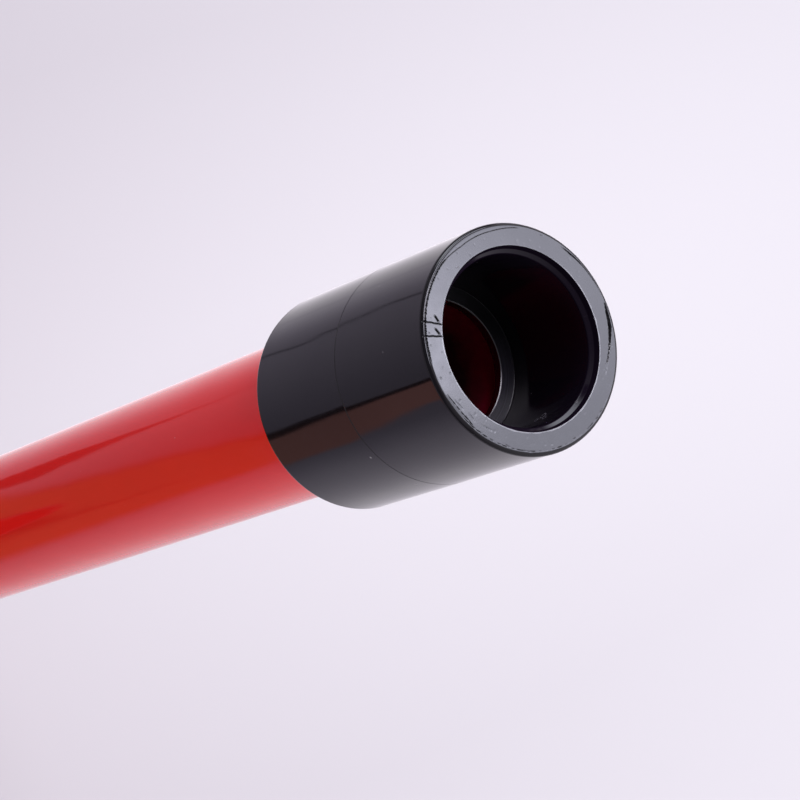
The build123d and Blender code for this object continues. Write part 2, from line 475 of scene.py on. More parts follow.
def grip_rubber():
    """Matt black rubber with a fine pebbled skin, polished a little by hands on its crests."""
    material, tree, shader, coords = new_material("grip_rubber")
    colour = blended(tree, noise(tree, coords, 70.0), (0.016, 0.016, 0.017), (0.030, 0.029, 0.029))
    crest = add_node(tree, "ShaderNodeNewGeometry").outputs["Pointiness"]
    dress(tree, shader, colour, ranged(tree, crest, (0.48, 0.54), (0.72, 0.46)))
    pebbles = add_node(tree, "ShaderNodeTexVoronoi", {"Vector": coords, "Scale": 1300.0})
    bumps(tree, shader, [(pebbles.outputs["Distance"], 0.05 * MM), (noise(tree, coords, 300.0), 0.04 * MM)])
    return material


def anvil_steel():
    """Turned steel, dulled and dented where it strikes the post."""
    material, tree, shader, coords = new_material("anvil_steel")
    shader.inputs["Metallic"].default_value = 1.0
    rings = add_node(
        tree,
        "ShaderNodeTexWave",
        {"Vector": coords, "Scale": 190.0, "Distortion": 0.6, "Detail": 1.0},
        wave_type="RINGS",
        rings_direction="Z",
    ).outputs["Fac"]
    stain = noise(tree, coords, 80.0, detail=5.0)
    colour = blended(tree, stain, (0.20, 0.17, 0.15), (0.46, 0.45, 0.44))
    dress(tree, shader, colour, ranged(tree, stain, NOISE_SPAN, (0.55, 0.28)))
    dents = add_node(tree, "ShaderNodeTexVoronoi", {"Vector": coords, "Scale": 240.0}).outputs["Distance"]
    bumps(tree, shader, [(rings, 0.02 * MM), (dents, 0.12 * MM)])
    return material


def pin_steel():
    """Zinc-plated spring steel, with bright and dull patches."""
    material, tree, shader, coords = new_material("pin_steel")
    shader.inputs["Metallic"].default_value = 1.0
    spangle = noise(tree, coords, 500.0, detail=4.0)
    colour = blended(tree, spangle, (0.36, 0.36, 0.38), (0.62, 0.62, 0.63))
    dress(tree, shader, colour, ranged(tree, spangle, NOISE_SPAN, (0.42, 0.24)))
    bumps(tree, shader, [(noise(tree, coords, 1800.0), 0.01 * MM)])
    return material


# ---- Mouth collar ----
FACE = MOUTH - FACE_SET_BACK
FACE_OUTER = COLLAR_R - COLLAR_ROUND
FACE_SKIN, BORE_SKIN, RING_SKIN = 1, 2, 3  # places in the list of the collar's materials, after its outside

# The collar's marks. Their places were worked out from the photo and rounded, with
# directions in degrees.
# The curls of the bore's flow mark: direction, depth below the mouth, and radius
CURLS = ((111.5, 17.8 * MM, 0.9 * MM), (114.5, 20.0 * MM, 1.2 * MM), (111.0, 22.6 * MM, 0.8 * MM))
FLASH = (-110.0, -5.0)  # directions between which flash is folded on to the face's outer edge
SCORES = (-24.0, -16.8)  # directions of the two short scores across the face
# Feet of the near flash and of the far one, and the brink of the bite: direction, and radius in mm
FLASH_FOOT = ((-110, 38.7), (-95, 38.0), (-72, 37.8), (-57, 38.9), (-33, 39.2), (-5, 39.0))
FAR_FLASH = ((-168, 39.2), (-152, 38.8), (-140, 38.6))
BITE = ((5, 39.0), (12, 38.6), (20, 38.0), (30, 38.0), (40, 39.0))
# The gouge: direction, and radius, depth and half width in mm
GOUGE = (
    (143, 35.5, 0.0, 0.1), (150, 35.6, 0.25, 0.2), (160, 36.7, 0.55, 0.3),
    (170, 38.0, 1.0, 0.75), (178, 38.4, 0.8, 0.6), (184, 39.0, 0.0, 0.3),
)
# The small scuffs: radius in mm, direction, and half length in mm
SCUFFS = (
    (37.0, 22, 1.5), (36.5, 32, 1.0), (36.0, 43, 1.5), (38.5, 57, 1.0),
    (39.0, 70, 1.0), (38.5, 100, 1.0), (38.5, -126, 0.5), (38.5, -146, 1.5),
)


def collar_profile():
    """The collar's section, from the mouth's bore edge outwards and back through the sockets."""
    parting_r = COLLAR_R - 0.01 * MM
    end_r = parting_r - COLLAR_DRAFT
    slow_r, steep_r = LEAD_IN_R
    slow, steep = LEAD_IN_DEPTH
    ring_front = MOUTH - SOCKET_DEPTH
    corners = [
        (slow_r, FACE, 0.12 * MM, 0.28 * MM),
        (37.4 * MM, FACE, 0.0, 0.09 * MM),
        (end_r, FACE, COLLAR_ROUND, 1.7 * MM),
        (parting_r, PARTING + 0.4 * PARTING_DEPTH, 0.03 * MM, 1.0 * MM),
        (parting_r - PARTING_DEPTH, PARTING, 0.0, 1.0 * MM),
        (parting_r, PARTING - 3 * PARTING_DEPTH, 0.3 * MM, 1.7 * MM),
        (end_r, COLLAR_REAR, COLLAR_ROUND, 2.0 * MM),
        (slow_r, COLLAR_REAR, 0.12 * MM, 1.0 * MM),
        (steep_r, COLLAR_REAR + slow, 0.0, 1.0 * MM),
        (SOCKET_R, COLLAR_REAR + steep, 0.0, 12.0 * MM),
        (SOCKET_R, TUBE_END, 0.0, 3.0 * MM),
        (STOP_RING_R, TUBE_END, 0.15 * MM, 2.0 * MM),
        (STOP_RING_R, ring_front - RING_WORN[1], 0.0, 0.2 * MM),
        (STOP_RING_R + RING_WORN[0], ring_front, 0.0, 0.3 * MM),
        (SOCKET_R, ring_front, 0.25 * MM, 2.0 * MM),
        (SOCKET_R, MOUTH - steep, 1.2 * MM, 0.5 * MM),
        (steep_r, MOUTH - slow, 0.25 * MM, 0.5 * MM),
    ]
    return outline(corners, 0.07 * MM)


def collar_angles():
    """Directions round the collar, closer together where its face is marked."""
    gouged = np.arange(GOUGE[0][0] - 2, GOUGE[-1][0] + 2, 0.2)
    degrees = [
        np.arange(-180.0, 180.0, 0.5),
        np.arange(*FLASH, 0.2),
        np.arange(SCORES[0] - 5, SCORES[1] + 3, 0.1),
        np.arange(10, 60, 0.25),
        gouged - 360.0 * (gouged > 180),
    ]
    return np.radians(np.unique(np.round(np.concatenate(degrees), 2)))


def notch(distance, width):
    """A sharp V of depth 1 and that half width."""
    return np.clip(1 - np.abs(distance) / width, 0, 1)


def folded_flash(radius, angles):
    """The dark jagged foot of the flash, the dip behind it and the thin crest outside it."""
    ragged = between(angles, -58.0, -7.0, 3.0)
    tooth = np.clip(0.55 + 1.1 * wobble(angles, 3, 50, 380, 0.0), 0, 1)
    foot = (curve(FLASH_FOOT, np.degrees(angles)) - 0.12 * ragged * tooth) * MM
    foot = foot + 0.03 * MM * wobble(angles, 5, 3, 160, 0.3)
    groove = (0.12 + 0.42 * ragged * (0.3 + 0.7 * tooth)) * between(angles, *FLASH)
    change = -groove * MM * notch(radius - foot, (0.15 + 0.20 * ragged * tooth) * MM)
    dip = between(angles, -48.0, -7.0, 12.0) * smooth_step(radius, foot, foot + 0.35 * MM)
    change = change - 0.10 * MM * dip
    crest = (39.80 + 0.04 * wobble(angles, 6, 3, 30, 0.3)) * MM
    return change + 0.11 * MM * between(angles, -88.0, -7.0, 10.0) * bell(radius - crest, 0.14 * MM)


def worn_edge(radius, angles):
    """The far flash line, a bite out of the outer edge, and a fine uneven line on the rest of it."""
    turn = np.degrees(angles)
    far = (curve(FAR_FLASH, turn) + 0.05 * wobble(angles, 9, 20, 200, 0.2)) * MM
    dark = np.maximum(between(angles, -152.0, -142.0, 2.0), 0.4 * between(angles, -168.0, -141.0, 3.0))
    change = -0.34 * MM * dark * notch(radius - far, 0.24 * MM)
    brink = (curve(BITE, turn) + 0.07 * wobble(angles, 10, 20, 160, 0.2)) * MM
    bitten = between(angles, 17.0, 34.0, 3.0)
    change = change - 0.12 * bitten * np.clip(radius - brink, 0, 2.2 * MM)
    torn = np.clip(0.5 + 0.8 * wobble(angles, 15, 12, 120, 0.1), 0.1, 1)
    change = change - 0.30 * MM * bitten * torn * notch(radius - brink, 0.24 * MM)
    rest = FACE_OUTER - 0.15 * MM + 0.12 * MM * wobble(angles, 13, 3, 160, 0.4)
    uneven = np.clip(0.35 + wobble(angles, 14, 8, 90, 0.2), 0, 1)
    uneven *= 0.6 * between(angles, 34.0, 125.0, 8.0) + 0.6 * between(angles, 34.0, 60.0, 8.0)
    return change - 0.24 * MM * uneven * notch(radius - rest, 0.22 * MM)


def cuts_in_face(radius, angles):
    """Depth of the scores, nicks, gouge, scuffs and pits in the face."""
    depth = np.zeros_like(radius)
    for direction, nick_r, seed in zip(SCORES, (34.7, 34.4), (11, 12)):
        across = turn_gap(angles, direction) * radius + 0.06 * MM * np.sin(radius / MM * 2.3 + seed)
        length = np.clip((radius - 32.5 * MM) / (0.3 * MM), 0, 1)
        depth += 0.42 * MM * length * notch(across, 0.30 * MM)
        nick_along = radius - nick_r * MM
        nick_across = turn_gap(angles, direction - 2.7) * radius + 1.05 * nick_along
        depth += 0.95 * MM * notch(nick_across, 0.46 * MM) * np.clip(1.6 * bell(nick_along, 0.5 * MM), 0, 1)
    turns, line, deep, wide = zip(*GOUGE)
    turn = np.degrees(angles % TURN)
    line = np.interp(turn, turns, line) * MM + 0.09 * MM * wobble(angles, 21, 60, 200, 0.0)
    deep = np.interp(turn, turns, deep) * MM * np.clip(1 + 0.6 * wobble(angles, 22, 40, 260, 0.0), 0.4, 1.5)
    depth += deep * notch(radius - line, np.interp(turn, turns, wide) * MM)
    draw = np.random.default_rng(8)
    for at_r, direction, length in SCUFFS:
        off = radius - at_r * MM - 0.25 * turn_gap(angles, direction) * radius * draw.uniform(-1, 1)
        ends = bell(turn_gap(angles, direction) * at_r, length)
        depth += 0.20 * MM * ends * notch(off, 0.24 * MM) * (0.6 + 0.4 * wobble(angles, 23, 60, 240, 0.0))
    for _ in range(60):
        at_r, direction = draw.uniform(33.2, 38.6) * MM, draw.uniform(-180, 180)
        size, deepest = draw.uniform(0.18, 0.34) * MM, draw.uniform(0.01, 0.04) * MM
        depth += deepest * bell(radius - at_r, size) * bell(turn_gap(angles, direction) * at_r, size)
    return depth


def mark_face(radius, height, angles):
    """Presses the marks into the mouth's face, and raises the flash at its edge."""
    on_face = bell(np.maximum(FACE - height, 0), 0.6 * MM) * (radius > SOCKET_R)
    dish = 0.012 * MM * wobble(angles, 31, 2, 7) * (radius - 36 * MM) / (3 * MM)
    change = folded_flash(radius, angles) + worn_edge(radius, angles) - cuts_in_face(radius, angles) + dish
    height += on_face * np.minimum(change, 0.1 * MM)


def shape_outside(radius, height, angles):
    """Gives each half of the collar's outside the slight sink of a thick moulding."""
    outside = radius > COLLAR_R - 0.5 * MM
    for middle, seed in (((MOUTH + PARTING) / 2, 41), ((COLLAR_REAR + PARTING) / 2, 42)):
        half = (MOUTH - PARTING) / 2
        along = np.clip(1 - ((height - middle) / half) ** 4, 0, 1)
        lean = 1 + 0.5 * (height - middle) / half
        radius -= outside * along * (0.05 + 0.045 * lean * wobble(angles, seed, 2, 7)) * MM


def make_collar(materials):
    """The moulded collar, with its face, its bore and its stop ring in materials of their own."""
    angles = collar_angles()
    radius, height = turned(collar_profile(), angles)
    shape_outside(radius, height, angles)
    mark_face(radius, height, angles)
    mesh = closed_grid("mouth_collar_shell", round_points(radius, height, angles))
    for polygon in mesh.polygons:
        r, z = polygon.center.xy.length, polygon.center.z
        if z > FACE - 0.5 * MM and LEAD_IN_R[0] < r < FACE_OUTER + 0.3 * MM:
            polygon.material_index = FACE_SKIN
        elif r < SOCKET_R - 0.3 * MM:
            polygon.material_index = RING_SKIN
        elif r < LEAD_IN_R[0]:
            polygon.material_index = BORE_SKIN
    add_piece("mouth_collar_shell", mesh, materials, "mouth_collar", 50)


# ---- Driver tube, head plate and head weld ----
def make_tube(materials):
    """The tube, with holes for the anvil's pins cut across it, and its inside in a material of its own."""
    bore_r = TUBE_R - TUBE_WALL
    corners = [
        (bore_r, PLATE_TOP, 0.0, 2.0 * MM),
        (TUBE_R, PLATE_TOP, 0.0, 4.0 * MM),
        (TUBE_R, TUBE_END, 0.0, 2.0 * MM),
        (bore_r, TUBE_END, 0.0, 4.0 * MM),
    ]
    angles = np.linspace(0, TURN, 288, endpoint=False)
    radius, height = turned(outline(corners), angles)
    mesh = closed_grid("driver_tube_shell", round_points(radius, height, angles))
    for polygon in mesh.polygons:
        polygon.material_index = int(polygon.center.xy.length < bore_r + 0.1 * MM)
    tube = add_piece("driver_tube_shell", mesh, materials, "driver_tube")
    for axis, pin_height in zip("XY", PIN_HEIGHTS):
        cut_round_hole(tube, axis, pin_height)
    tube.data.set_sharp_from_angle(angle=math.radians(SHARP_ANGLE))


def cut_round_hole(piece, axis, at_height):
    """Cuts one pin hole right through a piece, along X or Y."""
    turn_to = Matrix.Rotation(math.pi / 2, 4, "Y" if axis == "X" else "X")
    bpy.ops.mesh.primitive_cylinder_add(vertices=64, radius=PIN_R + 0.05 * MM, depth=4 * TUBE_R)
    cutter = bpy.context.object
    cutter.matrix_world = Matrix.Translation((0, 0, at_height)) @ turn_to
    cut = piece.modifiers.new("pin_hole", "BOOLEAN")
    cut.object = cutter
    cut.operation = "DIFFERENCE"
    cut.solver = "EXACT"
    bpy.context.view_layer.update()
    whole = piece.evaluated_get(bpy.context.evaluated_depsgraph_get())
    mesh = bpy.data.meshes.new_from_object(whole)
    piece.modifiers.remove(cut)
    piece.data = mesh
    bpy.data.objects.remove(cutter)


def make_plate(material):
    """The head plate, with its chamfers rounded over by paint and knocks."""
    knocks = 0.35 * MM
    hole_r = 2.0 * MM
    corners = [
        (hole_r, 0.0, 0.0, 3.0 * MM),
        (PLATE_R - HEAD_CHAMFER, 0.0, knocks, 0.5 * MM),
        (PLATE_R, HEAD_CHAMFER, knocks, 1.0 * MM),
        (PLATE_R, PLATE_TOP - HEAD_CHAMFER, knocks, 0.5 * MM),
        (PLATE_R - HEAD_CHAMFER, PLATE_TOP, knocks, 2.0 * MM),
        (hole_r, PLATE_TOP, 0.0, 4.0 * MM),
    ]
    angles = np.linspace(0, TURN, 360, endpoint=False)
    radius, height = turned(outline(corners), angles)
    rim = np.clip((radius - (PLATE_R - 3 * MM)) / (2 * MM), 0, 1)
    radius -= rim * 0.06 * MM * (1 + wobble(angles, 51, 3, 60))
    mesh = closed_grid("head_plate_disc", round_points(radius, height, angles))
    fill_middle(mesh, hole_r)
    add_piece("head_plate_disc", mesh, [material], "head_plate")


def fill_middle(mesh, hole_r):
    """Closes the small hole left round a disc's axis: its wall goes, and each rim gets a face."""
    shape = bmesh.new()
    shape.from_mesh(mesh)
    wall = [f for f in shape.faces if all(abs(v.co.xy.length - hole_r) < 0.01 * MM for v in f.verts)]
    bmesh.ops.delete(shape, geom=wall, context="FACES")
    rims = [e for e in shape.edges if e.is_boundary]
    bmesh.ops.holes_fill(shape, edges=rims, sides=0)
    bmesh.ops.recalc_face_normals(shape, faces=shape.faces)
    shape.to_mesh(mesh)
    shape.free()
    mesh.update()


def make_head_weld(material):
    """The fillet weld between the plate and the tube, laid in overlapping ripples."""
    leg = head_weld_high.z - PLATE_TOP
    angles = np.linspace(0, TURN, 900, endpoint=False)
    toe_plate = TUBE_R + leg * (0.92 + 0.08 * wobble(angles, 61, 5, 40))
    toe_tube = PLATE_TOP + leg * (0.92 + 0.08 * wobble(angles, 62, 5, 40))
    root = np.full_like(angles, TUBE_R - 0.3 * MM)
    rows_r, rows_z = [root, toe_plate], [np.full_like(angles, PLATE_TOP - 0.2 * MM)] * 2
    for share in np.linspace(0, 1, 15):
        bulge = math.sin(math.pi * share)
        lag = 0.05 * math.cos(math.pi * (share - 0.5))
        ripple = 0.16 * MM * np.abs(np.sin((angles + lag) * 42)) * bulge**0.5
        rise = 0.35 * MM * bulge + ripple
        rows_r.append(toe_plate + (TUBE_R - toe_plate) * share + rise * 0.7)
        rows_z.append(PLATE_TOP + (toe_tube - PLATE_TOP) * share + rise * 0.7)
    rows_r.append(root)
    rows_z.append(toe_tube)
    points = round_points(np.array(rows_r), np.array(rows_z), angles)
    mesh = closed_grid("head_weld_bead", points)
    add_piece("head_weld_bead", mesh, [material], "head_weld", 60)


# ---- Handles and their welds ----
def handle_line():
    """Points and directions along the right handle's centreline, from its lower foot to its upper one."""
    low, high = FEET
    bend_x = HANDLE_REACH - HANDLE_BEND
    points, directions = [], []
    for x in np.linspace(TUBE_R, bend_x, 6)[:-1]:
        points.append((x, low))
        directions.append(0.0)
    for turn in np.linspace(0, math.pi / 2, 25):
        points.append((bend_x + HANDLE_BEND * math.sin(turn), low + HANDLE_BEND * (1 - math.cos(turn))))
        directions.append(turn)
    bent = len(points)
    for z in np.linspace(low + HANDLE_BEND, high - HANDLE_BEND, 14)[1:-1]:
        points.append((HANDLE_REACH, z))
        directions.append(math.pi / 2)
    for (x, z), turn in reversed(list(zip(points[:bent], directions[:bent]))):
        points.append((x, low + high - z))
        directions.append(math.pi - turn)
    return np.array(points), np.array(directions)


def make_handle(side, name, material):
    """One bent handle tube, with both feet cut to the driver tube's round."""
    points, directions = handle_line()
    around = np.linspace(0, TURN, 72, endpoint=False)
    skins = []
    for tube_r in (HANDLE_R, HANDLE_R - HANDLE_WALL):
        y = np.repeat(tube_r * np.cos(around)[None], len(points), axis=0)
        out = np.repeat(tube_r * np.sin(around)[None], len(points), axis=0)
        flatten = 1 - 0.02 * np.sin(directions * 2)[:, None] ** 2
        x = points[:, :1] + out * np.sin(directions)[:, None] * flatten
        z = points[:, 1:] - out * np.cos(directions)[:, None] * flatten
        for end in (0, -1):
            x[end] = np.sqrt(TUBE_R**2 - y[end] ** 2)
        skins.append(np.stack([side * x, y, z], axis=2))
    grid = np.concatenate([skins[0], skins[1][::-1]])
    mesh = closed_grid(f"{name}_handle_bar", grid)
    add_piece(f"{name}_handle_bar", mesh, [material], f"{name}_handle", 40)


def make_foot_weld(side, foot, name, node, seed, material):
    """The rippled fillet weld round one foot of a handle."""
    around = np.linspace(0, TURN, 240, endpoint=False)
    leg = WELD_LEG * (0.80 + 0.07 * wobble(around, seed, 3, 14))
    y_root, z_root = HANDLE_R * np.cos(around), HANDLE_R * np.sin(around)
    x_root = np.sqrt(TUBE_R**2 - y_root**2)
    spread = 1 + leg / HANDLE_R
    x_toe = np.sqrt(TUBE_R**2 - (y_root * spread) ** 2)
    rows = []
    for share in np.linspace(0, 1, 13):
        bulge = math.sin(math.pi * share)
        lag = 0.10 * bulge
        ripple = 0.14 * MM * np.abs(np.sin((around + lag) * 13)) * bulge**0.5
        out = HANDLE_R + leg * share + (0.15 * MM * bulge + ripple)
        x = (x_root + leg) * (1 - share) + x_toe * share + 0.15 * MM * bulge + ripple
        rows.append(np.stack([side * x, out * np.cos(around), foot + out * np.sin(around)], axis=1))
    under = np.stack([side * (x_root - 0.2 * MM), y_root * 0.99, foot + z_root * 0.99], axis=1)
    rows.append(under)
    mesh = closed_grid(name, np.array(rows))
    add_piece(name, mesh, [material], node, 60)


# ---- Grips ----
def make_grip(side, name, material):
    """One ribbed rubber sleeve, with a lip at each end and a faint mould seam down both sides."""
    half = GRIP_LENGTH / 2
    crest = GRIP_LENGTH - 2 * GRIP_LIP_WIDTH
    pitch = crest / (GRIP_GROOVES + 1)
    soft = 0.6 * MM
    groove_r = GRIP_R - GRIP_GROOVE_DEPTH
    corners = [
        (HANDLE_R, -half, 0.5 * MM, 4.0 * MM),
        (GRIP_LIP_R, -half, 2.0 * MM, 1.0 * MM),
        (GRIP_LIP_R, -half + GRIP_LIP_WIDTH, 2.0 * MM, 1.0 * MM),
        (GRIP_R, -half + GRIP_LIP_WIDTH, 0.9 * MM, 1.0 * MM),
    ]
    for i in range(GRIP_GROOVES):
        middle = (i - (GRIP_GROOVES - 1) / 2) * pitch
        low, high = middle - GRIP_GROOVE_WIDTH / 2, middle + GRIP_GROOVE_WIDTH / 2
        corners += [
            (GRIP_R, low, soft, 1.0 * MM),
            (groove_r, low + 0.5 * MM, soft, 1.0 * MM),
            (groove_r, high - 0.5 * MM, soft, 1.0 * MM),
            (GRIP_R, high, soft, 2.0 * MM),
        ]
    corners += [
        (GRIP_R, half - GRIP_LIP_WIDTH, 0.9 * MM, 1.0 * MM),
        (GRIP_LIP_R, half - GRIP_LIP_WIDTH, 2.0 * MM, 1.0 * MM),
        (GRIP_LIP_R, half, 2.0 * MM, 1.0 * MM),
        (HANDLE_R, half, 0.5 * MM, 20.0 * MM),
    ]
    angles = np.linspace(0, TURN, 144, endpoint=False)
    radius, height = turned(outline(corners, 0.4 * MM), angles)
    skin = radius > HANDLE_R + 2 * MM
    seam = bell(turn_gap(angles, 90), 0.03) + bell(turn_gap(angles, -90), 0.03)
    inside_lip = radius < GRIP_LIP_R - 0.3 * MM
    radius += skin * inside_lip * 0.18 * MM * seam
    points = round_points(radius, height + GRIP_MIDDLE, angles, (side * HANDLE_REACH, 0.0))
    mesh = closed_grid(f"{name}_grip_sleeve", points)
    add_piece(f"{name}_grip_sleeve", mesh, [material], f"{name}_grip", 60)


# ---- Floor, lights and reflection cards ----
FLOOR_LIGHT_SLOPE = (-1.0, 0.32, 0.0)  # painted light: the floor grows paler along this direction, towards the key light
FLOOR_RUN = (0.15, 0.95)  # how far along it the change starts and ends
FLOOR_DIM = (0.485, 0.461, 0.497)
FLOOR_LIT = (0.695, 0.676, 0.714)
LIGHT_POOL_MIDDLE = (-0.43, -0.02, 0.0)  # a painted pool of light on the floor
LIGHT_POOL_REACH = (1.9, 5.0, 1.0)  # one over its half length and its half width

STUDIO_DISTANCE = 1.6  # from the mouth to the key and side lights and their cards
KEY_SIZE = 1.3
KEY_WATTS = 28.0
SIDE_CARD_WAY = (-0.30, -0.92, 0.27)
SIDE_CARD_SIZE = 1.6
SIDE_LAMP_WAY = (-0.03, -0.75, 1.40)
SIDE_LAMP_SIZE = 0.65
SIDE_LAMP_WATTS = 12.5
SIDE_LAMP_TINT = (1.0, 0.95, 1.08)
FILL_LAMPS = ((-68, 13.8), (68, 18.0))  # direction in degrees, and watts
FILL_RISE = 0.26
FILL_AIM = (0.0, 0.0, 0.5)
FILL_DISTANCE = 2.0
FILL_SIZE = 0.8
SURROUND_HEIGHT = 1.0 * MM

# The low surround that the driver's outside mirrors. These tables describe the photo's own surroundings, and
# were worked out from the photo and rounded.
# Brightness in each direction, in degrees
SURROUND_TONE = (
    (-180, 1.1), (-160, 1.25), (-120, 0.82), (-90, 0.50), (-78, 0.42), (-60, 0.42), (-40, 0.39),
    (0, 0.26), (40, 0.31), (64, 0.54), (100, 0.74), (120, 0.86), (158, 0.85), (180, 1.1),
)
# The dark strip, the brown panel and the panel's seam. At each distance from the axis, in metres: the
# direction or width in degrees, the strength, or for SEAM_WIDTH the half width in metres
STRIP_EDGE = (
    (0.26, -76), (0.30, -76), (0.35, -72), (0.39, -70), (0.44, -71), (0.48, -78),
    (0.50, -74), (0.515, -75), (0.525, -78), (0.54, -76), (0.58, -82), (0.60, -79),
)
STRIP_WIDTH = ((0.26, 16), (0.28, 23), (0.30, 19), (0.33, 11), (0.36, 5), (0.39, 4), (0.44, 2))
STRIP_STRENGTH = (
    (0.30, 0.95), (0.36, 0.80), (0.39, 0.5), (0.45, 0.4), (0.47, 0.74), (0.61, 0.74), (0.66, 0.0),
)
PANEL_START = (
    (0.25, -56), (0.26, -50), (0.28, -36), (0.30, -32), (0.36, -18),
    (0.45, 0), (0.48, 5), (0.50, 2), (0.52, 2), (0.54, 5), (0.58, 5),
)
PANEL_END = ((0.25, 53), (0.40, 48), (0.45, 50), (0.48, 40), (0.53, 41), (0.57, 33), (0.59, 29))
PANEL_EDGE_WIDTH = ((0.45, 4), (0.50, 7), (0.53, 3), (0.54, 5), (0.56, 3))
SEAM_LINE = ((0.25, 2), (0.28, 11), (0.31, 19), (0.33, 22), (0.43, 29))
SEAM_WIDTH = ((0.25, 0.075), (0.28, 0.045), (0.31, 0.018), (0.34, 0.008))
SEAM_STRENGTH = ((0.25, 0.9), (0.28, 0.8), (0.31, 0.55), (0.34, 0.45), (0.43, 0.0))


def glow_card(name, grid, colours):
    """A studio card that only shows in reflections: it glows with a colour at each point of its grid."""
    rows, columns = grid.shape[:2]
    quads = grid_quads(rows, columns, closed=False)
    mesh = bpy.data.meshes.new(name)
    mesh.from_pydata(grid.reshape(-1, 3).tolist(), [], quads.tolist())
    glow = mesh.attributes.new("glow", "FLOAT_COLOR", "POINT")
    rgba = np.concatenate([colours.reshape(-1, 3), np.ones((rows * columns, 1))], axis=1)
    glow.data.foreach_set("color", rgba.astype(np.float32).ravel())
    material = bpy.data.materials.new(name)
    material.use_nodes = True
    tree = material.node_tree
    tree.nodes.remove(tree.nodes["Principled BSDF"])
    colour = add_node(tree, "ShaderNodeAttribute", attribute_name="glow").outputs["Color"]
    shine = add_node(tree, "ShaderNodeEmission", {"Color": colour}).outputs[0]
    tree.links.new(shine, tree.nodes["Material Output"].inputs["Surface"])
    material.cycles.emission_sampling = "NONE"
    mesh.materials.append(material)
    card = add_object(name, mesh)
    for rays in ("camera", "diffuse", "transmission", "volume_scatter", "shadow"):
        setattr(card, f"visible_{rays}", False)


def surround_glow(x, y):
    """Colour of the low surround at a place: bright away from the camera and dim towards it, with a narrow
    dark strip on one side and a brown panel with a dark edge on the other."""
    reach, azimuth = np.hypot(x, y), np.degrees(np.arctan2(y, x))

    def past(line):
        """How far past a line a place lies, in metres round the axis."""
        return np.radians(azimuth - curve(line, reach)) * reach

    on_tube = 1 - smooth_step(reach, 0.455, 0.475)
    tone = curve(SURROUND_TONE, azimuth)
    cool = np.clip((0.9 - tone) / 0.6, 0, 1)
    colour = tone[..., None] * np.stack([1 - 0.04 * cool, 0.94 - 0.09 * cool, 1.03 + 0.09 * cool], axis=-1)
    lifted = 1 - smooth_step(azimuth, -115, -90)
    colour *= (1 - (0.13 - 0.09 * lifted) * on_tube)[..., None]

    rag = 0.5 * np.sin(173 * x + 61 * y) + 0.3 * np.sin(411 * x - 290 * y + 1)
    rag = rag + 0.2 * np.sin(830 * x + 700 * y)
    off = past(STRIP_EDGE)
    wide = np.radians(curve(STRIP_WIDTH, reach)) * reach
    soft = curve(((0.30, 0.004), (0.44, 0.007)), reach)
    ragged = off + 0.010 * rag * curve(((0.26, 1.0), (0.42, 0.15)), reach)
    strip = smooth_step(off, -soft, soft) * (1 - smooth_step(ragged, wide - soft, wide + soft))
    strip *= curve(STRIP_STRENGTH, reach)
    second = 0.18 * bell(np.radians(azimuth + 115) * reach, 0.008) * (reach > 0.46)
    colour *= 1 - 0.93 * np.maximum(strip, second)[..., None]

    inside = past(PANEL_START)
    outside = past(PANEL_END)
    panel = smooth_step(inside, -0.006 - 0.035 * on_tube, 0.004 + 0.035 * on_tube)
    panel *= 1 - smooth_step(outside, -0.030 - 0.03 * on_tube, 0.012 + 0.01 * on_tube)
    brown = np.array((0.46, 0.205, 0.185)) * (1 - on_tube[..., None])
    brown = brown + np.array((0.40, 0.185, 0.09)) * on_tube[..., None]
    brown = brown * curve(((0.54, 1.0), (0.57, 1.25)), reach)[..., None]
    edge_wide = np.radians(curve(PANEL_EDGE_WIDTH, reach)) * reach
    edge = (1 - smooth_step(inside, edge_wide - 0.006, edge_wide + 0.014)) * (1 - 0.65 * on_tube)
    seam = bell(past(SEAM_LINE), curve(SEAM_WIDTH, reach)) * curve(SEAM_STRENGTH, reach)
    brown = brown * (1 - np.clip(np.maximum(edge, seam), 0, 0.93)[..., None])
    return colour * (1 - panel[..., None]) + brown * panel[..., None]


def surround_card():
    """The wide low card under the driver."""
    spans = ((0.03, 0.24, 0.03), (0.24, 0.68, 0.004), (0.68, 1.6, 0.08))
    reaches = np.concatenate([np.arange(*span) for span in spans])
    reach, azimuth = np.meshgrid(reaches, np.linspace(-math.pi, math.pi, 901), indexing="ij")
    x, y = reach * np.cos(azimuth), reach * np.sin(azimuth)
    grid = np.stack([x, y, np.full_like(x, SURROUND_HEIGHT)], axis=2)
    glow_card("surround_card", grid, surround_glow(x, y))


def facing_card(name, aim, direction, distance, size, glow):
    """A square card that faces a point, with its colour given by a function of its own two coordinates."""
    direction = direction.normalized()
    right = direction.cross(Vector((0, 0, 1))).normalized()
    up = right.cross(direction)
    across, along = np.meshgrid(*[np.linspace(-size / 2, size / 2, 61)] * 2, indexing="ij")
    middle = np.array(aim + direction * distance)
    grid = middle + across[..., None] * np.array(right) + along[..., None] * np.array(up)
    glow_card(name, grid, glow(across, along))


def key_glow(across, along):
    """The key softbox's colour: nearly even, with a brighter patch on one side of its middle."""
    past = smooth_step(across, 0.012, 0.036)
    patch = bell(along - 0.02, 0.08) * bell(across, 0.12) * (1 - past)
    fall = (1 + 0.35 * np.clip(-along, -0.3, 0.3)) * (1 - 0.12 * past)
    return (4.75 * fall + 6.5 * patch)[..., None] * np.array((0.97, 0.97, 1.16))


def side_glow(across, along):
    """The side card's colour, fading towards its edges."""
    fade = np.exp(-((across / 0.62) ** 4)) * np.exp(-((along / 0.32) ** 4))
    return 4.6 * fade[..., None] * np.array((0.97, 1.0, 1.12))


